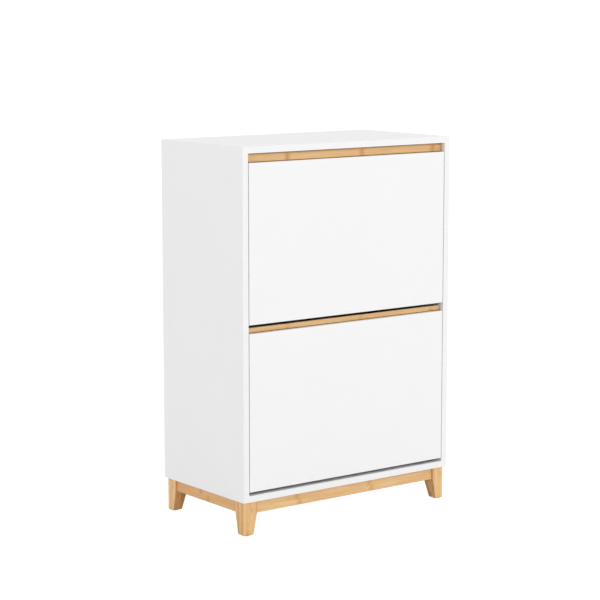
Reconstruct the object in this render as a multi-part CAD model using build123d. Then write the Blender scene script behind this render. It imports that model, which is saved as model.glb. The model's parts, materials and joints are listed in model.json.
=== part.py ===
from build123d import *
from math import cos, hypot, radians, sin, sqrt
import os

# Tilt-out shoe cabinet, in millimetres. It stands on z = 0, centred on x and y, its fronts facing -y.

# ---- Overall sizes
width = 600
depth = 320
height = 873
base_height = 78  # floor to the underside of the carcass

# ---- Carcass
board = 15
edge_radius = 0.6  # rounding of the banded edges that stand free
back_board = 3
back_inset = 5  # back board to the rear edges of the carcass
groove_depth = 5
groove_ease = 0.2  # room round the back board in its grooves
back_joint_gap = 2  # between the two back boards, behind the stretcher
stretcher_height = 60
stretcher_lift = 8  # stretcher's middle above the middle of the carcass
hanging_rail_height = 60
wall_hole_radius = 2.75
wall_hole_spacing = 400

# ---- Flaps
side_gap = 2  # front to side panel
top_gap = 2  # upper handle strip to top panel
front_board = 12
strip_board = 18
upper_strip_show = 19  # bamboo that stands above the upper front
lower_strip_show = 12
strip_overlap = 40  # bamboo behind a front
strip_round = 14  # back top edge, where fingertips curl over the strip
cove_radius = 5.5
cove_drop = 4  # cove centre below the front's top edge
pivot_back = 24  # pivot behind the front plane
pivot_up = 42  # pivot above the front's bottom edge
open_angle = 45
foot_clearance = 1.6  # lower front to bottom panel at its lowest point in the swing
finger_clearance = 1.6  # upper front to lower strip at its lowest point in the swing
swing_clearance = 7  # sector plates to the back stretcher

# ---- Sector plates, the moulded sides of a flap
plate_inset = 1  # plate behind the front's end
plate = 5
plate_foot = 4  # plate's foot above the front's bottom edge
plate_head_gap = 8  # plate's top below the handle strip
rim = 3
rim_depth = 8
rim_start_angle = 5
rim_end_angle = 72
flange = 3
flange_width = 16
flange_top_gap = 30  # flange ends below the plate's top
boss_radius = 12
boss_depth = 5
slot_from_rim = 43  # middle of the stop slot inside the plate's rim
slot_ease = 0.4  # room round the stop pin
stop_angle = 85  # stop pin above the pivot's level when closed

# ---- Shoe racks
rack_board = 5
rack_groove = 2
rack_ease = 0.2
rack_up = 8  # bottom board above the plate's foot
rack_front_gap = 1  # bottom board to the flange
rack_rear_gap = 5  # bottom board to the rim
rack_stand_gap = 0.5  # standing boards above the bottom board
rear_board_inset = 12  # rear board's foot in front of the bottom board's rear edge
rear_lean = 13
divider_lean = 6
rim_margin = 3
slot_margin = 8

# ---- Pivots and stops
pin_radius = 4
pin_running = 0.05  # radial clearance in the socket
pin_head_radius = 7
pin_head = 2
pin_engagement = 10
socket_radius = 8
socket_end = 1.5  # closed end beyond the pin
socket_end_gap = 0.5
socket_flange_radius = 12
socket_flange = 1.2
stop_radius = 4
stop_depth = 12
stop_short = 1  # stop pin ends short of the plate's inner face

# ---- Fasteners
ease = 0.05  # radial room of fasteners in their holes
hole_end = 0.3  # room past a fastener's end
dowel_radius = 4
dowel_long = 20
dowel_short = 10
bolt_radius = 3
cam_radius = 7.5
cam_depth = 12.5
cam_set_back = 34  # cam's centre from the joint
bolt_past_cam = 3
joint_bolt_inset = 60  # bolts from the front and back edges
joint_dowel_inset = 92
screw_radius = 1.75
screw_head_radius = 3.5
screw_head = 2
screw_bite = 9
strip_screw_drop = 20
strip_screw_span = 480
strip_screws = 4
flange_screws = 4
flange_screw_inset = 14
back_screw_span = 420
back_screws = 4
back_screw_inset = 13  # from the joint between the back boards

# ---- Base frame
base_inset = 4  # legs inside the carcass
leg_top = 35
leg_foot = 25
leg_radius = 7.5
leg_arris = 2
rail_height = 28
rail_board = 18
rail_set_back = 4  # rails behind the legs' faces
rail_arris = 1
glide = 1.5
glide_radius = 9
dowel_apart = 3  # between a leg's two dowels
cleat_length = 320
cleat_depth = 18
cleat_height = 20
cleat_screws = 3
cleat_screw_span = 240
cleat_screw_bite = 11

# ---- Places worked out from the sizes
front_y = -depth / 2
rear_y = depth / 2
carcass_bottom = base_height
floor_z = carcass_bottom + board  # top of the bottom panel
ceiling_z = height - board  # underside of the top panel
inner_half = width / 2 - board
front_half = inner_half - side_gap
back_face = rear_y - back_inset - back_board  # front of the back boards
rail_front = back_face - board  # front of the stretcher and hanging rail
stretcher_middle = (floor_z + ceiling_z) / 2 + stretcher_lift
hanging_middle = ceiling_z - hanging_rail_height / 2

swing_dip = hypot(pivot_back, pivot_up) - pivot_up  # how far a front's bottom edge dips
bottom_gap = swing_dip + foot_clearance
finger_gap = swing_dip + finger_clearance
front_stack = ceiling_z - floor_z - bottom_gap - lower_strip_show - finger_gap - upper_strip_show - top_gap
front_height = front_stack / 2
lower_bottom = floor_z + bottom_gap
upper_bottom = lower_bottom + front_height + lower_strip_show + finger_gap
pivot_y = front_y + pivot_back
behind_front = front_y + front_board

# Heights and depths inside a flap are counted from its pivot.
strip_foot = front_height - strip_overlap - pivot_up
plate_top = strip_foot - plate_head_gap
plate_bottom = plate_foot - pivot_up
plate_front = behind_front - pivot_y
back_room = rail_front - pivot_y - swing_clearance
head_room = front_height + lower_strip_show - pivot_up
plate_radius = min(back_room, head_room)
plate_out = front_half - plate_inset
plate_in = plate_out - plate
slot_radius = plate_radius - slot_from_rim
slot_half = stop_radius + slot_ease
rack_bottom = plate_bottom + rack_up
rack_half = plate_in + rack_groove - rack_ease
rack_front = plate_front + flange + rack_front_gap
rack_rear = sqrt((plate_radius - rim) ** 2 - rack_bottom**2) - rack_rear_gap
standing_foot = rack_bottom + rack_board + rack_stand_gap
rear_foot = rack_rear - rear_board_inset
divider_foot = (plate_front + rear_foot) / 2

parts = {}


def block(x, y, z):
    """Box between two values along each axis."""
    size = [span[1] - span[0] for span in (x, y, z)]
    centre = [(span[0] + span[1]) / 2 for span in (x, y, z)]
    return Pos(*centre) * Box(*size)


def rod(start, axis, length, radius):
    """Round bar from a start point along an axis."""
    return Location(Plane(start, z_dir=axis)) * Cylinder(
        radius, length, align=(Align.CENTER, Align.CENTER, Align.MIN)
    )


def spread(count, span):
    """Evenly spaced places, centred on zero."""
    return [span * (i / (count - 1) - 0.5) for i in range(count)]


def screw(head_face, axis, length, room=0.0, end=0.0):
    """Pan-head screw. The head's underside is at head_face and the shank runs along the axis."""
    back = tuple(-a for a in axis)
    head = rod(head_face, back, screw_head + end, screw_head_radius + room)
    shank = rod(head_face, axis, length + end, screw_radius + room)
    return head + shank


def group(solids):
    """Separate solids that share a node."""
    return Compound([solid for shape in solids for solid in shape.solids()])


# ---- Board joints: a cam bolt with its cam lock beside a dowel, both across a butt joint
def joint_plane(at, out, cam_side):
    """Frame of a joint: z leaves the edge board for the face board, x points at the cam's face."""
    return Location(Plane(at, x_dir=cam_side, z_dir=out))


def dowel_at(frame, room=0.0, end=0.0):
    """Dowel across a joint."""
    reach = dowel_long + dowel_short + 2 * end
    middle = (dowel_short - dowel_long) / 2
    return frame * Pos(0, 0, middle) * Cylinder(dowel_radius + room, reach)


def bolt_at(frame, room=0.0, end=0.0):
    """Cam bolt across a joint, its tip inside the cam."""
    tail = cam_set_back + bolt_past_cam
    reach = tail + dowel_short + 2 * end
    middle = (dowel_short - tail) / 2
    return frame * Pos(0, 0, middle) * Cylinder(bolt_radius + room, reach)


def cam_at(frame, room=0.0, end=0.0):
    """Cam lock in the edge board, flush with its inner face."""
    reach = cam_depth + end
    place = Pos((board - reach) / 2, 0, -cam_set_back) * Rot(0, 90, 0)
    return frame * place * Cylinder(cam_radius + room, reach)


panel_middle = width / 2 - board / 2
rail_middle = rail_front + board / 2
bolt_frames = []
dowel_frames = []
for side in (-1, 1):
    for level, out in ((floor_z, -1), (ceiling_z, 1)):
        for end in (-1, 1):
            bolt_y = end * (depth / 2 - joint_bolt_inset)
            dowel_y = end * (depth / 2 - joint_dowel_inset)
            for y, frames in ((bolt_y, bolt_frames), (dowel_y, dowel_frames)):
                at = (side * panel_middle, y, level)
                frames.append(joint_plane(at, (0, 0, out), (-side, 0, 0)))
    for middle, tall in ((stretcher_middle, stretcher_height), (hanging_middle, hanging_rail_height)):
        for offset, frames in ((-tall / 4, bolt_frames), (tall / 4, dowel_frames)):
            at = (side * inner_half, rail_middle, middle + offset)
            frames.append(joint_plane(at, (side, 0, 0), (0, -1, 0)))

joint_holes = []
for frame in bolt_frames:
    joint_holes.append(bolt_at(frame, ease, hole_end))
    joint_holes.append(cam_at(frame, ease, hole_end / 2))
for frame in dowel_frames:
    joint_holes.append(dowel_at(frame, ease, hole_end))

cam_bolts = [bolt_at(frame) for frame in bolt_frames]
cams = [cam_at(frame) - bolt_at(frame, ease, hole_end) for frame in bolt_frames]
parts["cam_bolts"] = group(cam_bolts)
parts["cam_locks"] = group(cams)
parts["carcass_dowels"] = group([dowel_at(frame) for frame in dowel_frames])

# ---- Back boards, in grooves all round, and the screws that hold them
groove_y = (back_face - groove_ease, back_face + back_board + groove_ease)
groove = block(
    (-inner_half - groove_depth, inner_half + groove_depth),
    groove_y,
    (floor_z - groove_depth, ceiling_z + groove_depth),
)
back_half = inner_half + groove_depth - groove_ease
back_y = (back_face, back_face + back_board)
lower_back_z = (floor_z - groove_depth + groove_ease, stretcher_middle - back_joint_gap / 2)
upper_back_z = (stretcher_middle + back_joint_gap / 2, ceiling_z + groove_depth - groove_ease)
hanging_z = (ceiling_z - hanging_rail_height, ceiling_z)
stretcher_z = (stretcher_middle - stretcher_height / 2, stretcher_middle + stretcher_height / 2)

back_screw_heads = []
for x in spread(back_screws, back_screw_span):
    for z in (stretcher_middle - back_screw_inset, stretcher_middle + back_screw_inset):
        back_screw_heads.append((x, back_face + back_board, z))
back_screw_length = back_board + screw_bite
back_holes = [screw(at, (0, -1, 0), back_screw_length, ease, hole_end) for at in back_screw_heads]
back_screws_in = [screw(at, (0, -1, 0), back_screw_length) for at in back_screw_heads]
wall_holes = []
for x in (-wall_hole_spacing / 2, wall_hole_spacing / 2):
    wall_holes.append(rod((x, rail_front, hanging_middle), (0, 1, 0), depth, wall_hole_radius))
parts["back_panel_screws"] = group(back_screws_in)
parts["lower_back_panel"] = block((-back_half, back_half), back_y, lower_back_z) - back_holes
parts["upper_back_panel"] = block((-back_half, back_half), back_y, upper_back_z) - back_holes - wall_holes
rail_y = (rail_front, back_face)
rail_x = (-inner_half, inner_half)
parts["back_stretcher"] = block(rail_x, rail_y, stretcher_z) - joint_holes - back_holes
parts["hanging_rail"] = block(rail_x, rail_y, hanging_z) - joint_holes - wall_holes


# ---- Pivot sockets and stop pins in the side panels
def pivot_z(bottom):
    """Height of a flap's pivot above the floor."""
    return bottom + pivot_up


def stop_place(bottom):
    """Stop pin's y and z for a flap."""
    y = pivot_y + slot_radius * cos(radians(stop_angle))
    z = pivot_z(bottom) + slot_radius * sin(radians(stop_angle))
    return y, z


def socket(side, bottom, room=0.0):
    """Flanged plastic socket let into a side panel."""
    depth_in = pin_engagement + socket_end_gap + socket_end + room
    at = (side * inner_half, pivot_y, pivot_z(bottom))
    body = rod(at, (side, 0, 0), depth_in, socket_radius + room)
    if room:
        return body
    mouth = (side * (inner_half - socket_flange), pivot_y, pivot_z(bottom))
    body += rod(mouth, (side, 0, 0), socket_flange, socket_flange_radius)
    bore_length = socket_flange + pin_engagement + socket_end_gap
    return body - rod(mouth, (side, 0, 0), bore_length, pin_radius + pin_running)


def stop_pin(side, bottom, room=0.0):
    """Stop pin from its hole in the side panel into the plate's slot."""
    y, z = stop_place(bottom)
    inner = plate_in + stop_short
    reach = inner_half + stop_depth + room - inner
    return rod((side * inner, y, z), (side, 0, 0), reach, stop_radius + room)


flaps = {"lower": (lower_bottom, lower_strip_show), "upper": (upper_bottom, upper_strip_show)}
stop_pins = []
for flap, (bottom, show) in flaps.items():
    for side, hand in ((-1, "left"), (1, "right")):
        parts[f"{flap}_{hand}_pivot_socket"] = socket(side, bottom)
        stop_pins.append(stop_pin(side, bottom))
parts["stop_pins"] = group(stop_pins)

# ---- Base frame
frame_half = width / 2 - base_inset
frame_y = depth / 2 - base_inset
rail_bottom = carcass_bottom - rail_height
rail_centre = rail_set_back + rail_board / 2  # from the legs' outer faces
leg_dowel_z = carcass_bottom - rail_height / 2
leg_dowel_half = leg_top - rail_centre - dowel_radius - dowel_apart


def leg_profile():
    """Side of a leg: square above the rails' underside, then tapering to the foot."""
    outer = [(0, glide), (0, carcass_bottom)]
    inner = [(leg_top, carcass_bottom), (leg_top, rail_bottom), (leg_foot, glide)]
    return make_face(Polyline(*outer, *inner, close=True))


def leg():
    """Leg with its outer corner at the origin, tapering on the two inner faces."""
    along_y = extrude(Plane.XZ * leg_profile(), -leg_top)
    along_x = extrude(Plane.YZ * leg_profile(), leg_top)
    body = along_y & along_x
    outer_corner = body.edges().filter_by(Axis.Z).sort_by_distance((0, 0, 0))[0]
    body = fillet(outer_corner, leg_radius)
    foot = body.faces().sort_by(Axis.Z)[0].edges()
    return chamfer(foot, leg_arris)


def leg_dowels(x_sign, y_sign, room=0.0, end=0.0):
    """The two dowels that join a leg to its rails."""
    x_face = x_sign * (frame_half - leg_top)
    y_face = y_sign * (frame_y - leg_top)
    x_line = x_sign * (frame_half - rail_centre)
    y_line = y_sign * (frame_y - rail_centre)
    reach = leg_dowel_half + end
    along_x = rod((x_face - reach, y_line, leg_dowel_z), (1, 0, 0), 2 * reach, dowel_radius + room)
    along_y = rod((x_line, y_face - reach, leg_dowel_z), (0, 1, 0), 2 * reach, dowel_radius + room)
    return [along_x, along_y]


corners = {"front_left": (-1, -1), "front_right": (1, -1), "back_left": (-1, 1), "back_right": (1, 1)}
dowel_holes = []
dowels = []
for x_sign, y_sign in corners.values():
    dowel_holes += leg_dowels(x_sign, y_sign, ease, hole_end)
    dowels += leg_dowels(x_sign, y_sign)
parts["leg_dowels"] = group(dowels)

plain_leg = leg()
for name, (x_sign, y_sign) in corners.items():
    piece = plain_leg
    if x_sign > 0:
        piece = mirror(piece, about=Plane.YZ)
    if y_sign > 0:
        piece = mirror(piece, about=Plane.XZ)
    parts[f"{name}_leg"] = Pos(x_sign * frame_half, y_sign * frame_y, 0) * piece - dowel_holes
    centre = (x_sign * (frame_half - leg_foot / 2), y_sign * (frame_y - leg_foot / 2), 0)
    parts[f"{name}_glide"] = rod(centre, (0, 0, 1), glide, glide_radius)

rail_z = (rail_bottom, carcass_bottom)
for name, sign in (("left", -1), ("right", 1)):
    outer = frame_half - rail_set_back
    x = sorted((sign * outer, sign * (outer - rail_board)))
    rail = block(x, (leg_top - frame_y, frame_y - leg_top), rail_z)
    parts[f"{name}_base_rail"] = chamfer(rail.edges().filter_by(Axis.Y), rail_arris) - dowel_holes

cleat_z = (carcass_bottom - cleat_height, carcass_bottom)
cleat_places = spread(cleat_screws, cleat_screw_span)
cleat_screw_length = cleat_height + cleat_screw_bite
base_screws = []
base_holes = []
for name, sign in (("front", -1), ("back", 1)):
    outer = frame_y - rail_set_back
    y = sorted((sign * outer, sign * (outer - rail_board)))
    rail = block((leg_top - frame_half, frame_half - leg_top), y, rail_z)
    parts[f"{name}_base_rail"] = chamfer(rail.edges().filter_by(Axis.X), rail_arris) - dowel_holes
    inner = outer - rail_board
    y = sorted((sign * inner, sign * (inner - cleat_depth)))
    for x in cleat_places:
        at = (x, sign * (inner - cleat_depth / 2), carcass_bottom - cleat_height)
        base_screws.append(screw(at, (0, 0, 1), cleat_screw_length))
        base_holes.append(screw(at, (0, 0, 1), cleat_screw_length, ease, hole_end))
    parts[f"{name}_cleat"] = block((-cleat_length / 2, cleat_length / 2), y, cleat_z) - base_holes
parts["base_screws"] = group(base_screws)


# ---- Carcass boards
def banded(shape, keep):
    """Board with the free edges that keep() picks rounded as edge banding is."""
    return fillet([edge for edge in shape.edges() if keep(edge)], edge_radius)


def upright(edge):
    """True for an edge that runs along z."""
    return abs(edge.tangent_at(0.5).Z) > 0.9


def top_edge(edge):
    """Edges of the top panel that stand free: all but those on the side panels."""
    return edge.center().Z > height - board / 4 or upright(edge)


def bottom_edge(edge):
    """Edges of the bottom panel that stand free: all but those under the side panels."""
    return edge.center().Z < carcass_bottom + board / 4 or upright(edge)


x_all = (-width / 2, width / 2)
y_all = (front_y, rear_y)
top = banded(block(x_all, y_all, (ceiling_z, height)), top_edge)
bottom = banded(block(x_all, y_all, (carcass_bottom, floor_z)), bottom_edge)
parts["top_panel"] = top - joint_holes - groove
parts["bottom_panel"] = bottom - joint_holes - groove - base_holes
for side, hand in ((-1, "left"), (1, "right")):
    x = sorted((side * inner_half, side * width / 2))
    panel = banded(block(x, y_all, (floor_z, ceiling_z)), upright) - joint_holes - groove
    for bottom, show in flaps.values():
        panel -= socket(side, bottom, ease)
        panel -= stop_pin(side, bottom, ease)
    parts[f"{hand}_side_panel"] = panel


# ---- Flaps
def standing_length(foot, lean, radius):
    """Length of a leaning board whose top corner lies a given distance from the pivot."""
    corner = foot + rack_board / 2
    along = -corner * sin(radians(lean)) + standing_foot * cos(radians(lean))
    return sqrt(along**2 - corner**2 - standing_foot**2 + radius**2) - along


def flat_board(room=0.0):
    """Bottom board of the racks, about a pivot at the origin."""
    y = (rack_front - room, rack_rear + room)
    z = (rack_bottom - room, rack_bottom + rack_board + room)
    return block((-rack_half - room, rack_half + room), y, z)


def leaning_board(foot, lean, radius, room=0.0):
    """Standing board of a rack, leaning towards the front."""
    length = standing_length(foot, lean, radius)
    size = (2 * (rack_half + room), rack_board + 2 * room, length + 2 * room)
    blank = Pos(0, 0, length / 2) * Box(*size)
    lift = standing_foot + rack_board / 2 * sin(radians(lean))
    return Pos(0, foot, lift) * Rot(lean, 0, 0) * blank


def racks(room=0.0):
    """Bottom, divider and rear boards."""
    divider_radius = slot_radius - slot_half - slot_margin
    rear_radius = plate_radius - rim - rim_margin
    return {
        "bottom_board": flat_board(room),
        "divider_board": leaning_board(divider_foot, divider_lean, divider_radius, room),
        "rear_board": leaning_board(rear_foot, rear_lean, rear_radius, room),
    }


def sector():
    """Outline of a plate: the room behind the front, inside the circle that the plate sweeps."""
    tall = plate_top - plate_bottom
    deep = plate_radius - plate_front
    middle = Pos(plate_front + deep / 2, plate_bottom + tall / 2)
    return middle * Rectangle(deep, tall) & Circle(plate_radius)


def rim_outline():
    """Stiffening rim along the plate's arc."""
    sweep = CenterArc((0, 0), plate_radius + rim, -rim_start_angle, rim_end_angle + rim_start_angle)
    wedge = make_face([sweep, Line(sweep @ 1, (0, 0)), Line((0, 0), sweep @ 0)])
    return (sector() & wedge) - Circle(plate_radius - rim)


def across(outline, side, inner, outer):
    """Outline in the plane of the swing made into a slab between two distances from the middle."""
    lift = extrude(Plane.YZ.offset(inner) * outline, outer - inner)
    return lift if side > 0 else mirror(lift, about=Plane.YZ)


def flange_places():
    """Heights of the flange's screws above the pivot."""
    low = rack_bottom + rack_board + flange_screw_inset
    high = flange_top() - flange_screw_inset
    return [(low + high) / 2 + offset for offset in spread(flange_screws, high - low)]


def flange_top():
    """Top of the flange above the pivot."""
    return min(plate_top, plate_radius) - flange_top_gap


def bracket(side):
    """Sector plate with its flange, rim, pivot boss, rack grooves and stop slot, about the pivot."""
    slot = SlotArc(CenterArc((0, 0), slot_radius, stop_angle - open_angle, open_angle), 2 * slot_half)
    body = across(sector() - slot, side, plate_in, plate_out)
    body += across(rim_outline(), side, plate_in - rim_depth, plate_in)
    flange_x = sorted((side * plate_in, side * (plate_in - flange_width)))
    body += block(flange_x, (plate_front, plate_front + flange), (plate_bottom, flange_top()))
    body += rod((side * (plate_in - boss_depth), 0, 0), (side, 0, 0), boss_depth, boss_radius)
    bore_start = side * (plate_in - boss_depth)
    body -= rod((bore_start, 0, 0), (side, 0, 0), boss_depth + plate, pin_radius + ease)
    for board_room in racks(rack_ease).values():
        body -= board_room
    return body - flange_holes


def pivot_pin(side):
    """Pivot pin from its head inside the boss into the side panel's socket."""
    head_face = side * (plate_in - boss_depth)
    reach = inner_half + pin_engagement - (plate_in - boss_depth)
    head = rod((head_face - side * pin_head, 0, 0), (side, 0, 0), pin_head, pin_head_radius)
    return head + rod((head_face, 0, 0), (side, 0, 0), reach, pin_radius)


def front_panel(holes):
    """White front, its outer edges rounded, about the pivot."""
    y = (-pivot_back, plate_front)
    panel = block((-front_half, front_half), y, (-pivot_up, front_height - pivot_up))
    outer = [edge for edge in panel.edges() if edge.center().Y < plate_front - front_board / 4]
    return fillet(outer, edge_radius) - holes


def handle_strip(show, strip_holes):
    """Bamboo strip behind the front's top edge, with a finger cove."""
    y = (plate_front, plate_front + strip_board)
    top_z = front_height - pivot_up
    strip = block((-front_half, front_half), y, (strip_foot, top_z + show))
    strip = fillet(strip.faces().sort_by(Axis.Z)[-1].edges().sort_by(Axis.Y)[-1], strip_round)
    strip = fillet(strip.faces().sort_by(Axis.Z)[-1].edges().sort_by(Axis.Y)[0], edge_radius)
    cove = rod((-front_half, plate_front, top_z - cove_drop), (1, 0, 0), 2 * front_half, cove_radius)
    return strip - cove - strip_holes


strip_screw_z = front_height - pivot_up - strip_screw_drop
strip_back = plate_front + strip_board
strip_heads = [(x, strip_back, strip_screw_z) for x in spread(strip_screws, strip_screw_span)]
strip_length = strip_board + screw_bite
strip_holes = [screw(at, (0, -1, 0), strip_length, ease, hole_end) for at in strip_heads]
handle_screws = [screw(at, (0, -1, 0), strip_length) for at in strip_heads]
flange_length = flange + screw_bite
flange_holes = []
bracket_screws = []
for side in (-1, 1):
    for z in flange_places():
        at = (side * (plate_in - flange_width / 2), plate_front + flange, z)
        flange_holes.append(screw(at, (0, -1, 0), flange_length, ease, hole_end))
        bracket_screws.append(screw(at, (0, -1, 0), flange_length))

for flap, (bottom, show) in flaps.items():
    place = Pos(0, pivot_y, pivot_z(bottom))
    parts[f"{flap}_front_panel"] = place * front_panel(strip_holes + flange_holes)
    parts[f"{flap}_handle_strip"] = place * handle_strip(show, strip_holes)
    parts[f"{flap}_handle_screws"] = place * group(handle_screws)
    parts[f"{flap}_bracket_screws"] = place * group(bracket_screws)
    parts[f"{flap}_pivot_pins"] = place * group([pivot_pin(side) for side in (-1, 1)])
    for side, hand in ((-1, "left"), (1, "right")):
        parts[f"{flap}_{hand}_bracket"] = place * bracket(side)
    for name, rack in racks().items():
        parts[f"{flap}_{name}"] = place * rack

os.makedirs("parts", exist_ok=True)
for name, shape in parts.items():
    export_step(shape, f"parts/{name}.step")
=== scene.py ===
"""Tilt-out shoe cabinet: white boards, bamboo handle strips and base, moulded brackets inside."""

import json
from math import cos, pi, radians, sin

import bmesh
import bpy
import numpy as np
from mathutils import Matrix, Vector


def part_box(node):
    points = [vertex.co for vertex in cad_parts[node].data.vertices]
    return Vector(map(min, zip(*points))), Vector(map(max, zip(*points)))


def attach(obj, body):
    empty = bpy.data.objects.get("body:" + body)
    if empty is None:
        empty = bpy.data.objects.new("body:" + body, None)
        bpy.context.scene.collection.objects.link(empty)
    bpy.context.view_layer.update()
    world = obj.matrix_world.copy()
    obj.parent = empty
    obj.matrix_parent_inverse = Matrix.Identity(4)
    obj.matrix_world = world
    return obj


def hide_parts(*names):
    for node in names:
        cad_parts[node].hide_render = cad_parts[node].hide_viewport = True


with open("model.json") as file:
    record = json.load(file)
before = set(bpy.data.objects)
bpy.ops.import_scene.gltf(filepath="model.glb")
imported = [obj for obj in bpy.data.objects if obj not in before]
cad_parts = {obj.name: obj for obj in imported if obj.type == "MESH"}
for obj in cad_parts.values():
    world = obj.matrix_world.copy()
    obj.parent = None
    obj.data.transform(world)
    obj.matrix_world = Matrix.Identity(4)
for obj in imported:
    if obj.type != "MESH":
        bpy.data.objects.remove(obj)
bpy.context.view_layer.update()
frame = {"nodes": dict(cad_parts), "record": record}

MM = 0.001
TURN = 2 * pi
SIDES = {"left": -1, "right": 1}
ENDS = {"front": -1, "back": 1}
FLAPS = ("upper", "lower")

scene = bpy.context.scene


# ---------------------------------------------------------------- shader helpers
def linear(*rgb):
    """A colour given as 0-255 screen values, as the shader's linear values."""
    c = np.array(rgb) / 255
    return (*np.where(c <= 0.04045, c / 12.92, ((c + 0.055) / 1.055) ** 2.4), 1.0)


class Nodes:
    """A node tree with short calls for adding and wiring nodes."""

    def __init__(self, tree):
        self.tree = tree

    def add(self, kind, wires=None, **settings):
        """A node of that kind. Settings are its properties; wires are its inputs by name or number."""
        node = self.tree.nodes.new(kind)
        for key, value in settings.items():
            setattr(node, key, value)
        for key, value in (wires or {}).items():
            self.feed(value, node.inputs[key])
        return node

    def feed(self, value, socket):
        """Wires an output to a socket, or sets the socket to a constant."""
        if isinstance(value, bpy.types.NodeSocket):
            self.tree.links.new(value, socket)
        else:
            socket.default_value = value

    def math(self, operation, *values, clamp=False):
        """Result of a Math node."""
        wires = dict(enumerate(values))
        return self.add("ShaderNodeMath", wires, operation=operation, use_clamp=clamp).outputs[0]

    def vector(self, operation, *values):
        """Result of a Vector Math node."""
        node = self.add("ShaderNodeVectorMath", dict(enumerate(values)), operation=operation)
        return node.outputs["Value" if operation in ("DOT_PRODUCT", "LENGTH") else "Vector"]

    def noise(self, vector, scale, detail=2.0, roughness=0.5):
        """Noise around 0.5."""
        wires = {"Vector": vector, "Scale": scale, "Detail": detail, "Roughness": roughness}
        return self.add("ShaderNodeTexNoise", wires).outputs["Fac"]

    def chance(self, vector):
        """Random value between 0 and 1 for each point of a stepped vector."""
        return self.add("ShaderNodeTexWhiteNoise", {"Vector": vector}).outputs["Value"]

    def scaled(self, vector, x, y, z):
        """Vector stretched along its axes."""
        return self.vector("MULTIPLY", vector, (x, y, z))

    def remap(self, value, low, high, to_low=0.0, to_high=1.0, smooth=True):
        """Value between low and high carried to a new span, clamped."""
        wires = {"Value": value, "From Min": low, "From Max": high, "To Min": to_low, "To Max": to_high}
        kind = "SMOOTHSTEP" if smooth else "LINEAR"
        return self.add("ShaderNodeMapRange", wires, interpolation_type=kind).outputs["Result"]

    def blend(self, factor, a, b, mode="MIX"):
        """Two colours mixed."""
        node = self.add("ShaderNodeMix", data_type="RGBA", blend_type=mode)
        for key, value in ((0, factor), (6, a), (7, b)):
            self.feed(value, node.inputs[key])
        return node.outputs[2]

    def ramp(self, value, *stops):
        """Colour read from a ramp of (place, colour) stops."""
        node = self.add("ShaderNodeValToRGB", {"Fac": value})
        elements = node.color_ramp.elements
        while len(elements) < len(stops):
            elements.new(1.0)
        for element, (place, colour) in zip(elements, stops):
            element.position = place
            element.color = colour
        return node.outputs["Color"]


def effect(name, inputs, outputs):
    """Empty shader node group with named sockets. Gives its Nodes, its input node and its output node."""
    group = bpy.data.node_groups.new(name, "ShaderNodeTree")
    for label, (kind, value) in inputs.items():
        socket = group.interface.new_socket(name=label, in_out="INPUT", socket_type=kind)
        if value is not None:
            socket.default_value = value
    for label, kind in outputs.items():
        group.interface.new_socket(name=label, in_out="OUTPUT", socket_type=kind)
    nodes = Nodes(group)
    return nodes, nodes.add("NodeGroupInput").outputs, nodes.add("NodeGroupOutput").inputs


FLOAT, VECTOR, COLOUR = "NodeSocketFloat", "NodeSocketVector", "NodeSocketColor"


# ---------------------------------------------------------------- shared effects
INTERNODE = 0.213  # metres between a cane's growth nodes

# Bamboo colours, given as screen values. The tones run from dark to pale along a ramp.
BAMBOO_TONES = (
    (0.16, linear(190, 140, 84)),
    (0.38, linear(213, 167, 108)),
    (0.60, linear(228, 187, 130)),
    (0.86, linear(239, 206, 155)),
)
WARM_TINT = linear(218, 152, 92)
FLECK_BROWN = linear(176, 122, 72)
GLUE_BROWN = linear(168, 116, 70)
NODE_TAN = linear(206, 142, 82)
NODE_BROWN = linear(172, 104, 54)

# Noises drawn out along the grain: cells per metre along it and across it, detail, roughness.
GRAIN_NOISES = {
    "wave": (20, 260, 2.0, 0.5),
    "fine": (26, 1150, 3.0, 0.6),
    "soft": (7, 330, 2.0, 0.5),
    "broad": (5, 42, 2.0, 0.5),
    "hue": (9, 120, 2.0, 0.5),
    "fleck": (90, 2100, 1.0, 0.5),
}
# How far each of them, and the laminate's own tone, moves the colour along the ramp.
GRAIN_WEIGHTS = {"soft": 0.62, "broad": 0.40, "fine": 0.30}
LAMINATE_WEIGHT = 0.34


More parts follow.
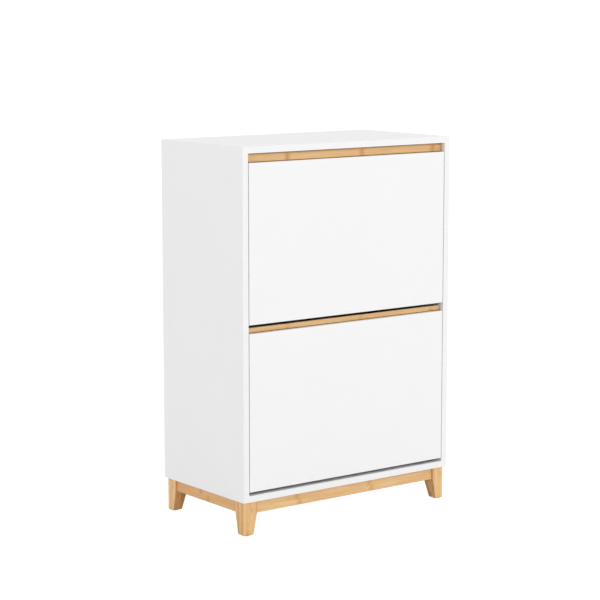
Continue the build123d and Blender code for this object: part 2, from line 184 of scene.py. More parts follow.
def bamboo_figure():
    """Laminated bamboo with its grain along x: laminates of differing tone, growth nodes, fibres.

    Each laminate is a cell of a grid across the grain. A cell has a random tone and a random shift of its
    growth nodes, and reads the noises at a place of its own."""
    inputs = {
        "Vector": (VECTOR, None),
        "Laminate": (FLOAT, 14 * MM),
        "Layer": (FLOAT, 19 * MM),
        "Node Place": (FLOAT, 0.0),
        "Node Scatter": (FLOAT, 1.0),
        "Node Strength": (FLOAT, 1.0),
        "Contrast": (FLOAT, 1.0),
        "Warmth": (FLOAT, 0.0),
        "Tone": (FLOAT, 0.0),
    }
    outputs = {"Colour": COLOUR, "Roughness": FLOAT, "Height": FLOAT}
    n, given, out = effect("bamboo figure", inputs, outputs)
    place = n.add("ShaderNodeSeparateXYZ", {0: given["Vector"]}).outputs
    across = n.math("DIVIDE", place["Z"], given["Laminate"])
    deep = n.math("DIVIDE", place["Y"], given["Layer"])
    steps = {0: n.math("FLOOR", across), 1: n.math("FLOOR", deep), 2: 0.37}
    cell = n.add("ShaderNodeCombineXYZ", steps).outputs[0]
    tone = n.chance(cell)
    shift = n.math("MULTIPLY", n.chance(n.vector("ADD", cell, (7.3, 1.9, 4.1))), given["Node Scatter"])
    moved = n.vector("ADD", given["Vector"], n.vector("MULTIPLY", cell, (0.31, 0.17, 0.23)))
    grain = {
        name: n.noise(n.scaled(moved, along, across_grain, across_grain), 1.0, detail, roughness)
        for name, (along, across_grain, detail, roughness) in GRAIN_NOISES.items()
    }

    # Growth nodes, one to each internode length: a broad warm band with a narrow wavy line inside it.
    along = n.math("ADD", n.math("DIVIDE", place["X"], INTERNODE), n.math("ADD", shift, given["Node Place"]))
    along = n.math("ADD", along, n.math("MULTIPLY", n.math("SUBTRACT", grain["wave"], 0.5), 0.022))
    from_node = n.math("ABSOLUTE", n.math("SUBTRACT", n.math("FRACT", along), 0.5))
    node_line = n.math("MULTIPLY", n.remap(from_node, 0.002, 0.020, 1.0, 0.0), given["Node Strength"])
    node_band = n.math("MULTIPLY", n.remap(from_node, 0.004, 0.062, 1.0, 0.0), given["Node Strength"])

    # Tone: the laminate's own, moved by the grain.
    parts = [(tone, LAMINATE_WEIGHT)]
    parts += [(grain[name], weight) for name, weight in GRAIN_WEIGHTS.items()]
    value = n.math("ADD", 0.5, given["Tone"])
    for part, weight in parts:
        swing = n.math("MULTIPLY", n.math("SUBTRACT", part, 0.5), weight)
        value = n.math("ADD", value, n.math("MULTIPLY", swing, given["Contrast"]))
    colour = n.ramp(value, *BAMBOO_TONES)

    # Over the tone: warm clouds, flecks, glue lines and growth nodes.
    fleck = n.remap(grain["fleck"], 0.62, 0.76)
    edge = n.math("ABSOLUTE", n.math("SUBTRACT", n.math("FRACT", across), 0.5))
    seam = n.remap(edge, 0.47, 0.499)
    warm = n.blend(0.6, colour, WARM_TINT)
    warmth = n.math("ADD", n.remap(grain["hue"], 0.42, 0.72, 0.0, 0.55), given["Warmth"], clamp=True)
    colour = n.blend(warmth, colour, warm)
    marks = (
        (fleck, 0.34, FLECK_BROWN),
        (seam, 0.34, GLUE_BROWN),
        (node_band, 0.70, NODE_TAN),
        (node_line, 0.26, NODE_BROWN),
    )
    for mark, amount, tint in marks:
        colour = n.blend(n.math("MULTIPLY", mark, amount), colour, tint)

    rough = n.math("ADD", 0.38, n.math("MULTIPLY", grain["fine"], 0.18))
    height = n.math("MULTIPLY", grain["fine"], 0.5)
    for mark, rise in ((fleck, -0.35), (seam, -0.5), (node_line, 0.5)):
        height = n.math("ADD", height, n.math("MULTIPLY", mark, rise))
    n.feed(colour, out["Colour"])
    n.feed(rough, out["Roughness"])
    n.feed(height, out["Height"])
    return n.tree


DUST_GREY = linear(150, 146, 140)


def pearl_skin():
    """Pearl-embossed or sprayed skin of a board: fine orange peel, faint clouding, a few dust specks."""
    inputs = {
        "Vector": (VECTOR, None),
        "Grain": (FLOAT, 700.0),
        "Clouding": (FLOAT, 0.02),
        "Base": (COLOUR, (0.8, 0.8, 0.8, 1)),
        "Gloss": (FLOAT, 0.36),
    }
    outputs = {"Colour": COLOUR, "Roughness": FLOAT, "Height": FLOAT}
    n, given, out = effect("pearl skin", inputs, outputs)
    peel = n.noise(given["Vector"], given["Grain"], 3.0, 0.55)
    cloud = n.noise(given["Vector"], 4.5, 3.0, 0.55)
    patch = n.noise(given["Vector"], 38.0, 2.0, 0.5)
    speck = n.remap(n.noise(given["Vector"], 420.0, 0.0, 0.5), 0.80, 0.86)
    shade = n.math("SUBTRACT", n.math("ADD", cloud, n.math("MULTIPLY", patch, 0.4)), 0.7)
    shade = n.math("ADD", 1.0, n.math("MULTIPLY", shade, given["Clouding"]))
    shade = n.add("ShaderNodeCombineColor", {0: shade, 1: shade, 2: shade}).outputs[0]
    colour = n.blend(1.0, given["Base"], shade, "MULTIPLY")
    colour = n.blend(n.math("MULTIPLY", speck, 0.10), colour, DUST_GREY)
    rough = n.math("ADD", given["Gloss"], n.math("MULTIPLY", n.math("SUBTRACT", patch, 0.5), 0.12))
    n.feed(colour, out["Colour"])
    n.feed(rough, out["Roughness"])
    n.feed(peel, out["Height"])
    return n.tree


bamboo_group = bamboo_figure()
pearl_group = pearl_skin()


# ---------------------------------------------------------------- materials
def finish_of(name, build):
    """Material whose shader is set up by build(nodes, shader, object coordinates)."""
    material = bpy.data.materials.new(name)
    material.use_nodes = True
    tree = material.node_tree
    shader = tree.nodes["Principled BSDF"]
    nodes = Nodes(tree)
    place = nodes.add("ShaderNodeTexCoord").outputs["Object"]
    build(nodes, shader, place)
    return material


def bumped(nodes, shader, height, distance, strength=1.0):
    """Feeds a height through a Bump node into the shader's normal."""
    wires = {"Height": height, "Distance": distance, "Strength": strength}
    nodes.feed(nodes.add("ShaderNodeBump", wires).outputs["Normal"], shader.inputs["Normal"])


def bamboo(name, turn, move=(0, 0, 0), **figure_inputs):
    """Bamboo finish with the grain turned along a piece. Extra values go to the figure's inputs."""

    def build(nodes, shader, place):
        wires = {"Vector": place, "Rotation": [radians(a) for a in turn], "Location": move}
        turned_place = nodes.add("ShaderNodeMapping", wires).outputs["Vector"]
        figure = nodes.add("ShaderNodeGroup", node_tree=bamboo_group)
        nodes.feed(turned_place, figure.inputs["Vector"])
        for key, value in figure_inputs.items():
            nodes.feed(value, figure.inputs[key.replace("_", " ").title()])
        nodes.feed(figure.outputs["Colour"], shader.inputs["Base Color"])
        nodes.feed(figure.outputs["Roughness"], shader.inputs["Roughness"])
        shader.inputs["Coat Weight"].default_value = 0.25
        shader.inputs["Coat Roughness"].default_value = 0.30
        shader.inputs["Specular IOR Level"].default_value = 0.40
        bumped(nodes, shader, figure.outputs["Height"], 0.12 * MM)

    return finish_of(name, build)


def skinned(name, colour, gloss, grain, clouding, depth, specular=0.5):
    """Board or moulded finish made by the pearl skin."""

    def build(nodes, shader, place):
        skin = nodes.add("ShaderNodeGroup", node_tree=pearl_group)
        inputs = {
            "Vector": place,
            "Grain": grain,
            "Clouding": clouding,
            "Base": linear(*colour),
            "Gloss": gloss,
        }
        for key, value in inputs.items():
            nodes.feed(value, skin.inputs[key])
        nodes.feed(skin.outputs["Colour"], shader.inputs["Base Color"])
        nodes.feed(skin.outputs["Roughness"], shader.inputs["Roughness"])
        shader.inputs["Specular IOR Level"].default_value = specular
        bumped(nodes, shader, skin.outputs["Height"], depth)

    return finish_of(name, build)


# The handle strips are single wide laminates. The rails are edge-glued from two, the legs from narrow ones.
# The lower strip's tone of 0.20, lighter than the upper's, is painted light. It offsets the shade that the
# strip sits in below the upper flap.
strip_bamboo = {
    flap: bamboo(f"bamboo {flap} handle strip", (0, 0, 0), (0, 0, 0.004), laminate=66 * MM, layer=40 * MM,
                 node_place=0.294, node_scatter=0.0, node_strength=strength, tone=tone)
    for flap, strength, tone in (("upper", 1.0, -0.06), ("lower", 0.35, 0.20))
}
along_x = bamboo("bamboo along x", (0, 0, 0), (0, 0, 0.006), laminate=14 * MM, node_strength=0.6, tone=0.11)
along_y = bamboo("bamboo along y", (0, 0, 90), (0, 0, 0.006), laminate=14 * MM, node_strength=0.7,
                 warmth=0.5, tone=-0.10)


def leg_bamboo(leg, tone, warmth, shade_warmth):
    """Finishes of a leg: its straight outer faces, and its tapering faces.

    The tapering faces look in under the cabinet. Their darker, warmer, more contrasty finish is painted
    shade."""
    grain = {"turn": (0, 90, 0), "move": (0.21, 0.003, 0.002), "laminate": 7 * MM, "layer": 7 * MM}
    outer = bamboo(f"bamboo {leg} leg", **grain, node_strength=0.45, contrast=1.1, warmth=warmth, tone=tone)
    inner = bamboo(f"bamboo {leg} leg shaded inner faces", **grain, node_strength=0.45, contrast=1.3,
                   warmth=shade_warmth, tone=-0.12)
    return outer, inner


white_board = skinned("white melamine board", (237, 237, 237), 0.40, 900.0, 0.03, 0.02 * MM)
front_board = skinned("white lacquered board", (238, 238, 238), 0.34, 520.0, 0.02, 0.015 * MM)
rack_board = skinned("white painted rack board", (226, 226, 224), 0.48, 380.0, 0.04, 0.04 * MM)
hardboard = skinned("painted hardboard", (222, 221, 217), 0.55, 300.0, 0.06, 0.06 * MM)
bracket_plastic = skinned("moulded bracket plastic", (222, 223, 224), 0.42, 1400.0, 0.02, 0.03 * MM)
socket_plastic = skinned("socket plastic", (214, 214, 214), 0.30, 1800.0, 0.02, 0.01 * MM)


def build_steel(nodes, shader, place):
    """Bright zinc plating: metal with a spangle of slightly differing tone and fine scratches."""
    spangle = nodes.noise(place, 900.0, 2.0, 0.5)
    scratch = nodes.noise(nodes.scaled(place, 300, 2600, 2600), 1.0, 2.0, 0.6)
    colour = nodes.ramp(spangle, (0.30, linear(176, 178, 182)), (0.70, linear(208, 209, 210)))
    nodes.feed(colour, shader.inputs["Base Color"])
    nodes.feed(nodes.remap(scratch, 0.25, 0.75, 0.22, 0.42), shader.inputs["Roughness"])
    shader.inputs["Metallic"].default_value = 1.0
    bumped(nodes, shader, scratch, 0.01 * MM)


def build_zinc(nodes, shader, place):
    """Die-cast zinc: duller than plate, with a granular skin."""
    grit = nodes.noise(place, 2200.0, 3.0, 0.6)
    stain = nodes.noise(place, 260.0, 2.0, 0.5)
    colour = nodes.ramp(stain, (0.3, linear(150, 151, 154)), (0.7, linear(178, 178, 180)))
    nodes.feed(colour, shader.inputs["Base Color"])
    nodes.feed(nodes.remap(grit, 0.3, 0.7, 0.40, 0.58), shader.inputs["Roughness"])
    shader.inputs["Metallic"].default_value = 0.9
    bumped(nodes, shader, grit, 0.03 * MM)


def build_beech(nodes, shader, place):
    """Beech dowels: pale pinkish wood with short dark rays along the grain."""
    grain = nodes.noise(nodes.scaled(place, 60, 700, 700), 1.0, 3.0, 0.6)
    ray = nodes.remap(nodes.noise(nodes.scaled(place, 240, 1500, 1500), 1.0, 0.0, 0.5), 0.62, 0.72)
    colour = nodes.ramp(grain, (0.3, linear(196, 152, 108)), (0.7, linear(222, 184, 140)))
    colour = nodes.blend(nodes.math("MULTIPLY", ray, 0.5), colour, linear(150, 100, 62))
    nodes.feed(colour, shader.inputs["Base Color"])
    shader.inputs["Roughness"].default_value = 0.62
    bumped(nodes, shader, grain, 0.05 * MM)


def build_felt(nodes, shader, place):
    """Pressed felt: matted fibres of two greys."""
    fibre = nodes.noise(place, 2600.0, 4.0, 0.7)
    tangle = nodes.add("ShaderNodeTexVoronoi", {"Vector": place, "Scale": 1500.0}).outputs["Distance"]
    colour = nodes.ramp(fibre, (0.3, linear(166, 158, 148)), (0.7, linear(204, 196, 186)))
    nodes.feed(colour, shader.inputs["Base Color"])
    shader.inputs["Roughness"].default_value = 0.95
    shader.inputs["Sheen Weight"].default_value = 0.4
    bumped(nodes, shader, nodes.math("ADD", fibre, tangle), 0.2 * MM)


steel = finish_of("zinc plated steel", build_steel)
zinc = finish_of("die cast zinc", build_zinc)
beech = finish_of("beech", build_beech)
felt = finish_of("pressed felt", build_felt)


# ---------------------------------------------------------------- surfaces
def unit(v):
    """Vectors scaled to length one."""
    return v / np.linalg.norm(v, axis=-1, keepdims=True)


def outline(corners, radii, steps=6):
    """Closed outline through corners, each swapped for an arc that touches both of its sides.

    For a corner with unit directions a and b to its neighbours and the angle phi between them, the
    arc's centre lies along a + b at radius / sin(phi / 2), and the arc turns from the foot on one side
    to the foot on the other through pi - phi. Corners are (..., k, 2); the result is (..., k * steps, 2)."""
    corners = np.asarray(corners, float)
    r = np.asarray(radii, float)[..., None]
    a = unit(np.roll(corners, 1, axis=-2) - corners)
    b = unit(np.roll(corners, -1, axis=-2) - corners)
    phi = np.arccos(np.clip((a * b).sum(-1, keepdims=True), -1, 1))
    centre = corners + unit(a + b) * r / np.sin(phi / 2)
    reach = r / np.tan(phi / 2)
    start, end = corners + a * reach - centre, corners + b * reach - centre
    psi = pi - phi
    s = np.linspace(0, 1, steps)[:, None]
    psi, start, end, centre = (v[..., None, :] for v in (psi, start, end, centre))
    arc = (np.sin((1 - s) * psi) * start + np.sin(s * psi) * end) / np.sin(psi) + centre
    return arc.reshape(*corners.shape[:-2], -1, 2)


def shell(rings):
    """Points and faces of a closed shell over m rings of n points, each end closed to its middle."""
    m, n = rings.shape[:2]
    ends = np.array([rings[0].mean(0), rings[-1].mean(0)])
    points = np.concatenate([rings.reshape(-1, 3), ends])
    i, j = np.meshgrid(np.arange(m - 1), np.arange(n), indexing="ij")
    k = (j + 1) % n
    quads = np.stack([i * n + j, i * n + k, (i + 1) * n + k, (i + 1) * n + j], -1).reshape(-1, 4)
    around = np.arange(n)
    after = (around + 1) % n
    first = np.stack([np.full(n, m * n), after, around], -1)
    last = np.stack([np.full(n, m * n + 1), (m - 1) * n + around, (m - 1) * n + after], -1)
    return points, quads.tolist() + first.tolist() + last.tolist()


def piece(name, shells, body, material, stands_for, crease=35):
    """Object made of closed shells. It rides on a body and stands for CAD nodes."""
    points, faces, count = [], [], 0
    for verts, polys in shells:
        points.append(verts)
        faces += [[v + count for v in poly] for poly in polys]
        count += len(verts)
    mesh = bpy.data.meshes.new(name)
    mesh.from_pydata(np.concatenate(points).tolist(), [], faces)
    work = bmesh.new()
    work.from_mesh(mesh)
    bmesh.ops.recalc_face_normals(work, faces=work.faces)
    work.to_mesh(mesh)
    work.free()
    mesh.polygons.foreach_set("use_smooth", [True] * len(mesh.polygons))
    mesh.set_sharp_from_angle(angle=radians(crease))
    mesh.materials.append(material)
    made = bpy.data.objects.new(name, mesh)
    scene.collection.objects.link(made)
    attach(made, body)
    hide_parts(*stands_for)
    return made


def box_of(node):
    """Lowest and highest corner of a CAD node as arrays."""
    low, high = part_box(node)
    return np.array(low), np.array(high)


def bar(low, high, axis, radius, end_radius=0.3 * MM):
    """Straight bar between two corners along one axis, its long edges rounded.

    The section is a rectangle with rounded corners. Near each end it draws in by
    r - sqrt(r^2 - d^2), where d is how far the ring lies inside the rounding."""
    across = [k for k in range(3) if k != axis]
    turn = np.linspace(0, pi / 2, 4)
    inset = end_radius * (1 - np.sin(turn))
    step = end_radius * (1 - np.cos(turn))
    places = np.concatenate([low[axis] + step, high[axis] - step[::-1]])
    insets = np.concatenate([inset, inset[::-1]])[:, None]
    (u0, v0), (u1, v1) = low[across], high[across]
    signs = np.array([(1, 1), (-1, 1), (-1, -1), (1, -1)])
    corners = np.array([(u0, v0), (u1, v0), (u1, v1), (u0, v1)]) + signs * insets[..., None]
    ring = outline(corners, np.full((len(places), 4), radius), 5)
    rings = np.empty((*ring.shape[:2], 3))
    rings[..., across] = ring
    rings[..., axis] = places[:, None]
    return shell(rings)


def turned(profile, at, axis, steps=32):
    """Surface of revolution: each (radius, height) of the profile swept round an axis from a point."""
    profile = np.asarray(profile, float)
    angle = np.arange(steps) / steps * TURN
    flat = np.stack([np.cos(angle), np.sin(angle)], -1) * profile[:, None, :1]
    rings = np.concatenate([flat, np.broadcast_to(profile[:, None, 1:], (*flat.shape[:2], 1))], -1)
    return placed(rings, at, axis)


def placed(rings, at, axis):
    """Rings about +z carried so that z runs along an axis, starting at a point."""
    axis = unit(np.asarray(axis, float))
    side = unit(np.cross(axis, (0, 0, 1) if abs(axis[2]) < 0.9 else (1, 0, 0)))
    basis = np.stack([side, np.cross(axis, side), axis])
    return shell(rings @ basis + np.asarray(at))


# ---------------------------------------------------------------- screws, cams and pins
def cross_recess(radius, angle, arm, width, depth):
    """Depth of a cross-shaped recess: deepest in the middle, two arms at right angles.

    A point's distances from the two centre lines are radius * |sin| and radius * |cos|. The smaller
    one against the arm's width, and the radius against the arm's length, each give a soft edge."""
    off_line = np.minimum(abs(radius * np.sin(angle)), abs(radius * np.cos(angle)))
    in_arm = np.clip((width - off_line) / (0.35 * width), 0, 1)
    in_reach = np.clip((arm - radius) / (0.5 * arm), 0, 1)
    return depth * in_arm * in_reach


def screw(at, axis, length, head_radius=3.5 * MM, head=2 * MM, shank=1.75 * MM, pitch=1.4 * MM):
    """Pan-head screw with a cross recess and a thread.

    The head is a shallow dome, head * (1 - 0.3 (r / R)^2), less the recess. The shank's radius swells
    by a triangle wave of the angle plus the height over the pitch, which winds the thread."""
    steps = 28
    angle = np.arange(steps) / steps * TURN
    top_r = head_radius * np.linspace(0.03, 0.93, 13)[:, None]
    top_z = head * (1 - 0.3 * (top_r / head_radius) ** 2)
    top_z = top_z - cross_recess(top_r, angle, 0.62 * head_radius, 0.14 * head_radius, 1.1 * MM)
    curve = np.linspace(0, pi / 2, 5)[:, None]
    rim_r = head_radius * (0.93 + 0.07 * np.sin(curve))
    rim_z = 0.15 * head + 0.59 * head * np.cos(curve)
    down = np.linspace(0, 1, 44)[:, None]
    shank_z = -length * down
    taper = np.clip((1 - down) / 0.14, 0.04, 1)
    wave = abs(2 * ((angle / TURN + length * down / pitch) % 1) - 1)
    thread = np.where(down > 0.12, wave, 0.5)
    shank_r = shank * taper * (0.80 + 0.20 * thread)
    radius = [np.broadcast_to(r, (len(r), steps)) for r in (top_r, rim_r, [[head_radius]], shank_r)]
    height = [np.broadcast_to(z, (len(z), steps)) for z in (top_z, rim_z, [[0.0]], shank_z)]
    radius, height = np.concatenate(radius), np.concatenate(height)
    rings = np.stack([radius * np.cos(angle), radius * np.sin(angle), height], -1)
    return placed(rings, at, -np.asarray(axis, float))


def screw_rows(node, axis, counts, length, head_radius=3.5 * MM, head=2 * MM):
    """Screws at even spacing through a CAD node's box.

    The axis is (its number, the way the tips point). The counts are along the other two, in order."""
    low, high = box_of(node)
    flat = [k for k in range(3) if k != axis[0]]
    facing = axis[1]
    lines = [
        np.linspace(low[k] + head_radius, high[k] - head_radius, count) for k, count in zip(flat, counts)
    ]
    face = (high if facing < 0 else low)[axis[0]] + facing * head
    along = np.zeros(3)
    along[axis[0]] = facing
    shells = []
    for u in lines[0]:
        for v in lines[1]:
            at = np.empty(3)
            at[flat] = u, v
            at[axis[0]] = face
            shells.append(screw(at, along, length))
    return shells


def cam_lock(at, facing, radius=7.5 * MM, depth=12.5 * MM):
    """Cam lock: a disc with a groove round its face, a cross recess, a waist and a chamfered foot.

    The face is a polar height field: the recess, and a groove of depth g exp(-((r / R - 0.79) / 0.05)^2)."""
    steps = 40
    angle = np.arange(steps) / steps * TURN
    top_r = radius * np.linspace(0.03, 0.94, 18)[:, None]
    groove = np.exp(-(((top_r / radius - 0.79) / 0.05) ** 2)) * 0.35 * MM
    top_z = -groove - cross_recess(top_r, angle, 0.74 * radius, 0.15 * radius, 2.2 * MM)
    side_r = radius * np.array([0.985, 1, 1, 0.90, 0.90, 1, 1, 0.9])[:, None]
    side_z = -depth * np.array([0.005, 0.03, 0.22, 0.27, 0.70, 0.75, 0.96, 1.0])[:, None]
    radii = [np.broadcast_to(r, (len(r), steps)) for r in (top_r, side_r)]
    heights = [np.broadcast_to(z, (len(z), steps)) for z in (top_z, side_z)]
    radii, heights = np.concatenate(radii), np.concatenate(heights)
    rings = np.stack([radii * np.cos(angle), radii * np.sin(angle), heights], -1)
    return placed(rings, at, facing)


CAM_SET_BACK = 34 * MM  # from the edge or end of a board to the middle of its cam
CAM_INSET = 60 * MM  # from the front and back edges of a side panel
RAIL_CAM_DROP = 15 * MM  # below the middle line of a rail
PIN_SET_BACK = 9 * MM  # from the bracket's inner side to the pin's head


def carcass_cams():
    """Cam locks of the side panels, and of the stretcher and the hanging rail between them."""
    cams = []
    rails = box_of("back_stretcher"), box_of("hanging_rail")
    for hand, side in SIDES.items():
        low, high = box_of(f"{hand}_side_panel")
        inner = high[0] if side < 0 else low[0]
        for y in (low[1] + CAM_INSET, high[1] - CAM_INSET):
            for z in (low[2] + CAM_SET_BACK, high[2] - CAM_SET_BACK):
                cams.append(cam_lock((inner, y, z), (-side, 0, 0)))
        for rail_low, rail_high in rails:
            z = (rail_low[2] + rail_high[2]) / 2 - RAIL_CAM_DROP
            x = side * (rail_high[0] - CAM_SET_BACK)
            cams.append(cam_lock((x, rail_low[1], z), (0, -1, 0)))
    return cams


def pivot_pins(flap):
    """Pair of pivot pins: a rounded flat head inside the bracket, and a stem with a chamfered tip."""
    low, high = box_of(f"{flap}_pivot_pins")
    middle = (low + high) / 2
    inner = box_of(f"{flap}_right_bracket")[0][0] + PIN_SET_BACK
    reach = (high[0] - inner) / MM
    head = [(0.2, 0), (5.6, 0.0), (6.6, 0.35), (7.0, 1.0), (7.0, 1.6), (6.7, 2.0), (4.0, 2.0)]
    stem = [(4.0, 2.4), (4.0, reach - 0.8), (3.2, reach), (0.2, reach)]
    profile = np.array(head + stem) * MM
    return [turned(profile, (side * inner, *middle[1:]), (side, 0, 0)) for side in SIDES.values()]


def screw_piece(name, node, body, axis, counts, length):
    """Piece of all the screws that a CAD node stands for."""
    piece(name, screw_rows(node, axis, counts, length), body, steel, [node])


piece("cam_lock_faces", carcass_cams(), "cabinet", zinc, ["cam_locks"])
screw_piece("back_screws", "back_panel_screws", "cabinet", (1, -1), (4, 2), 12 * MM)
screw_piece("base_fixing_screws", "base_screws", "cabinet", (2, 1), (3, 2), 31 * MM)
for flap in FLAPS:
    body = f"{flap}_flap"
    screw_piece(f"{flap}_strip_screws", f"{flap}_handle_screws", body, (1, -1), (4, 1), 27 * MM)
    screw_piece(f"{flap}_flange_screws", f"{flap}_bracket_screws", body, (1, -1), (2, 4), 12 * MM)
    piece(f"{flap}_pins", pivot_pins(flap), body, steel, [f"{flap}_pivot_pins"])


# ---------------------------------------------------------------- bamboo pieces
LEG_FOOT = 25 * MM
FOOT_ROUND = 2.2 * MM
CORNER_ROUND = 7.5 * MM
ARRIS = 1.2 * MM
CLEAT_ARRIS = 0.8 * MM
COVE_RADIUS = 5.5 * MM
COVE_DROP = 4 * MM
STRIP_ROUND = 14 * MM
STRIP_ARRIS = 0.6 * MM
STRIP_FRONT_ARRIS = 0.5 * MM
STRIP_EASE = 0.4 * MM
FACING_INWARD = 0.9  # least part of a face's normal that points inward on a tapering face
rail_under = box_of("front_base_rail")[0][2]


def leg(low, high, x_sign, y_sign):
    """Leg that tapers on its two inner faces below the rails.

    The width at a height is the foot's width plus the taper, held at the top width above the rails'
    underside by a soft minimum. At the foot the section draws in by r - sqrt(r^2 - d^2), which rounds
    its edges."""
    top = high[0] - low[0]
    foot_z, top_z = low[2], high[2]
    rounding = foot_z + FOOT_ROUND * (1 - np.cos(np.linspace(0, pi / 2, 7)))
    z = np.concatenate([rounding, np.linspace(rounding[-1] + MM, top_z, 44)])
    rise = (z - foot_z) / (rail_under - foot_z)
    soft = 0.02
    rise = 0.5 * (rise + 1 - np.sqrt((rise - 1) ** 2 + soft**2))
    width = LEG_FOOT + (top - LEG_FOOT) * rise
    below = np.clip(foot_z + FOOT_ROUND - z, 0, FOOT_ROUND)
    inset = FOOT_ROUND - np.sqrt(FOOT_ROUND**2 - below**2)
    near, far = inset, width - inset
    corners = np.stack(
        [np.stack(pair, -1) for pair in ((near, near), (far, near), (far, far), (near, far))], -2
    )
    radii = np.broadcast_to([CORNER_ROUND, ARRIS, ARRIS, ARRIS], (len(z), 4))
    section = outline(corners, radii, 9)
    outer = np.array([low[0] if x_sign < 0 else high[0], low[1] if y_sign < 0 else high[1]])
    section = outer - np.array([x_sign, y_sign]) * section
    rings = np.concatenate([section, np.broadcast_to(z[:, None, None], (*section.shape[:2], 1))], -1)
    return shell(rings)


def handle_strip(flap):
    """Handle strip with a finger cove, its back top edge rounded for the fingertips.

    The section is a rounded rectangle whose front face dips by the cove's depth, sqrt(r^2 - (z - c)^2).
    It runs along x, and draws in evenly towards its middle line over the last STRIP_EASE of each end."""
    low, high = box_of(f"{flap}_handle_strip")
    middle = box_of(f"{flap}_front_panel")[1][2] - COVE_DROP
    turn = np.linspace(0, pi, 15)
    cove = np.stack([low[1] + COVE_RADIUS * np.sin(turn), middle - COVE_RADIUS * np.cos(turn)], -1)
    corners = [(low[1], high[2]), (high[1], high[2]), (high[1], low[2]), (low[1], low[2])]
    edges = outline(corners, [STRIP_FRONT_ARRIS, STRIP_ROUND, STRIP_ARRIS, STRIP_ARRIS], 9)
    section = np.concatenate([cove, edges])
    places = np.array([low[0], low[0] + STRIP_EASE, 0.0, high[0] - STRIP_EASE, high[0]])
    draw = np.array([STRIP_EASE, 0, 0, 0, STRIP_EASE])[:, None, None]
    centre = np.array([(low[1] + high[1]) / 2, (low[2] + high[2]) / 2])
    drawn = section - unit(section - centre) * draw
    rings = np.concatenate([np.broadcast_to(places[:, None, None], (*drawn.shape[:2], 1)), drawn], -1)
    return shell(rings)


def bamboo_leg(end, hand):
    """Leg with its two finishes. The tapering faces are those that look toward the cabinet's middle."""
    x_sign, y_sign = SIDES[hand], ENDS[end]
    outer_face, shaded_face = leg_bamboo(f"{end} {hand}", *LEG_TONES[end, hand])
    shells = [leg(*box_of(f"{end}_{hand}_leg"), x_sign, y_sign)]
    name = f"{end}_{hand}_bamboo_leg"
    made = piece(name, shells, "cabinet", outer_face, [f"{end}_{hand}_leg"])
    # The tapering faces get a darker, warmer copy of the leg's bamboo as painted shade.
    made.data.materials.append(shaded_face)
    normals = np.empty(len(made.data.polygons) * 3)
    made.data.polygons.foreach_get("normal", normals)
    inward = -normals.reshape(-1, 3) * (x_sign, y_sign, 0)
    tapering = inward.max(1) > FACING_INWARD
    made.data.polygons.foreach_set("material_index", tapering.astype(np.int32))


def felt_pad(end, hand):
    """Round pad under a leg, its lower edge softened."""
    low, high = box_of(f"{end}_{hand}_glide")
    radius, thick = (high[0] - low[0]) / 2, high[2] - low[2]
    profile = [(0.3 * MM, 0), (radius - 0.5 * MM, 0), (radius - 0.15 * MM, 0.15 * MM)]
    profile += [(radius, 0.5 * MM), (radius, thick), (0.3 * MM, thick)]
    middle = (low + high) / 2
    shells = [turned(profile, (middle[0], middle[1], low[2]), (0, 0, 1))]
    piece(f"{end}_{hand}_felt_pad", shells, "cabinet", felt, [f"{end}_{hand}_glide"])


def bamboo_bar(name, node, axis, radius, finish):
    """Straight bamboo piece in a CAD node's place."""
    piece(name, [bar(*box_of(node), axis, radius)], "cabinet", finish, [node])


# Of each leg: the tone and the warmth of its outer faces, and the warmth of the painted shade on its
# tapering faces.
LEG_TONES = {
    ("front", "left"): (0.0, 0.0, 0.75),
    ("front", "right"): (0.14, 0.0, 0.6),
    ("back", "left"): (0.30, 0.35, 1.0),
    ("back", "right"): (0.06, 0.1, 0.75),
}
for flap in FLAPS:
    node = f"{flap}_handle_strip"
    piece(f"{flap}_bamboo_strip", [handle_strip(flap)], f"{flap}_flap", strip_bamboo[flap], [node])
for end in ENDS:
    for hand in SIDES:
        bamboo_leg(end, hand)
        felt_pad(end, hand)
    bamboo_bar(f"{end}_bamboo_rail", f"{end}_base_rail", 0, ARRIS, along_x)
    bamboo_bar(f"{end}_bamboo_cleat", f"{end}_cleat", 0, CLEAT_ARRIS, along_x)
for hand in SIDES:
    bamboo_bar(f"{hand}_bamboo_rail", f"{hand}_base_rail", 1, ARRIS, along_y)


# ---------------------------------------------------------------- rack boards
RACK_LEANS = {"bottom_board": 0, "divider_board": 6, "rear_board": 13}  # degrees


def rack_slab(node, lean, radius=1.2 * MM):
    """Thin board with rounded edges in a CAD board's place: its box is read in axes that lean with it."""
    points = np.empty(len(frame["nodes"][node].data.vertices) * 3)
    frame["nodes"][node].data.vertices.foreach_get("co", points)
    points = points.reshape(-1, 3)
    angle = radians(lean)
    turn = np.array([(1, 0, 0), (0, cos(angle), -sin(angle)), (0, sin(angle), cos(angle))])
    level = points @ turn
    low, high = level.min(0), level.max(0)
    verts, faces = bar(low, high, 0, radius, radius)
    return verts @ turn.T, faces


for flap in FLAPS:
    for board, lean in RACK_LEANS.items():
        node = f"{flap}_{board}"
        shells = [rack_slab(node, lean)]
        piece(f"{flap}_rack_{board}", shells, f"{flap}_flap", rack_board, [node])


# ---------------------------------------------------------------- finishes of the boards and fittings
FINISHES = {
    "white_board": white_board,
    "front_board": front_board,
    "hardboard": hardboard,
    "rack_board": rack_board,
    "bamboo": along_x,
    "beech": beech,
    "bracket_plastic": bracket_plastic,
    "socket_plastic": socket_plastic,
    "steel": steel,
    "zinc": zinc,
    "felt": felt,
}
for part in frame["record"]["subparts"]:
    mesh = frame["nodes"][part["node"]].data
    mesh.materials.clear()
    mesh.materials.append(FINISHES[part["material_slot"]])


# ---------------------------------------------------------------- floor, light and camera
FLOOR_REACH = 30.0
PAPER_WHITE = (0.80, 0.80, 0.80, 1)

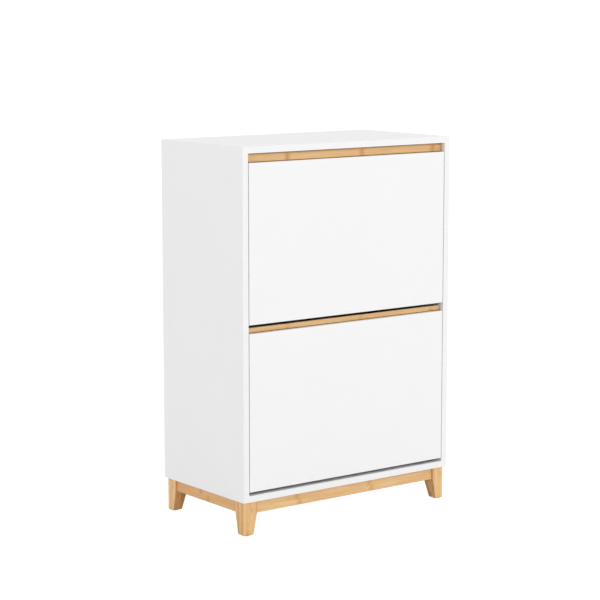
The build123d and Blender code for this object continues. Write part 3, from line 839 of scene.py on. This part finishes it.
# The sky's strength: its level, and how much directions add to it or take from it.
SKY_LEVEL = 1.24
SKY_FRONT, FRONT_GAIN = (0.30, -0.954, 0.0), 0.10
SKY_BEHIND, BEHIND_LOSS = (0.61, 0.79, 0.0), 0.26
UPRIGHT_LOSS = 0.42
SKY_AS_SEEN = 1.02

EYE = (-2.7797, -3.617, 1.1742)
EYE_TURN = 37.333  # degrees round from facing the fronts, toward the left side
EYE_DROP = 8.513  # degrees down from level


def build_floor(nodes, shader, place):
    """Pale seamless floor: it glows white where it is seen, and bounces light like pale paper elsewhere."""
    shader.inputs["Base Color"].default_value = (0.10, 0.10, 0.10, 1)
    shader.inputs["Roughness"].default_value = 0.9
    shader.inputs["Specular IOR Level"].default_value = 0.0
    shader.inputs["Emission Color"].default_value = (1, 1, 1, 1)
    shader.inputs["Emission Strength"].default_value = 1.0
    paper = nodes.add("ShaderNodeBsdfDiffuse", {"Color": PAPER_WHITE}).outputs[0]
    seen = nodes.add("ShaderNodeLightPath").outputs["Is Camera Ray"]
    both = nodes.add("ShaderNodeMixShader", {0: seen, 1: paper, 2: shader.outputs[0]}).outputs[0]
    nodes.feed(both, nodes.tree.nodes["Material Output"].inputs["Surface"])


def studio_world():
    """White surroundings, a little brighter in front and dimmer overhead and behind. Seen, they are even."""
    world = bpy.data.worlds.new("studio")
    world.use_nodes = True
    sky = Nodes(world.node_tree)
    direction = sky.add("ShaderNodeTexCoord").outputs["Generated"]
    toward = sky.vector("DOT_PRODUCT", direction, SKY_FRONT)
    height = sky.add("ShaderNodeSeparateXYZ", {0: direction}).outputs["Z"]
    behind = sky.math("MAXIMUM", sky.vector("DOT_PRODUCT", direction, SKY_BEHIND), 0.0)
    strength = sky.math("ADD", SKY_LEVEL, sky.math("MULTIPLY", toward, FRONT_GAIN))
    for part, loss in ((height, UPRIGHT_LOSS), (behind, BEHIND_LOSS)):
        squared = sky.math("MULTIPLY", part, part)
        strength = sky.math("SUBTRACT", strength, sky.math("MULTIPLY", squared, loss))
    background = world.node_tree.nodes["Background"]
    background.inputs["Color"].default_value = (1, 1, 1, 1)
    sky.feed(strength, background.inputs["Strength"])
    plain = sky.add("ShaderNodeBackground", {"Color": (1, 1, 1, 1), "Strength": SKY_AS_SEEN}).outputs[0]
    seen = sky.add("ShaderNodeLightPath").outputs["Is Camera Ray"]
    mixed = sky.add("ShaderNodeMixShader", {0: seen, 1: background.outputs[0], 2: plain}).outputs[0]
    sky.feed(mixed, world.node_tree.nodes["World Output"].inputs["Surface"])
    return world


corners = [(x * FLOOR_REACH, y * FLOOR_REACH, 0) for x, y in ((-1, -1), (1, -1), (1, 1), (-1, 1))]
mesh = bpy.data.meshes.new("floor")
mesh.from_pydata(corners, [], [(0, 1, 2, 3)])
mesh.materials.append(finish_of("pale floor", build_floor))
floor = bpy.data.objects.new("floor", mesh)
scene.collection.objects.link(floor)
scene.world = studio_world()

key = bpy.data.lights.new("key", "AREA")
key.size = 1.8
key.energy = 8
key_object = bpy.data.objects.new("key", key)
key_object.location = (0.9, -3.2, 1.5)
key_object.rotation_euler = (radians(72), 0, radians(16))
scene.collection.objects.link(key_object)

camera_data = bpy.data.cameras.new("camera")
camera_data.lens = 117.6
camera_data.sensor_width = 36
camera_data.clip_end = 100
camera = bpy.data.objects.new("camera", camera_data)
camera.location = EYE
camera.rotation_euler = (radians(90 - EYE_DROP), 0, radians(-EYE_TURN))
scene.collection.objects.link(camera)
scene.camera = camera
scene.view_settings.view_transform = "Standard"
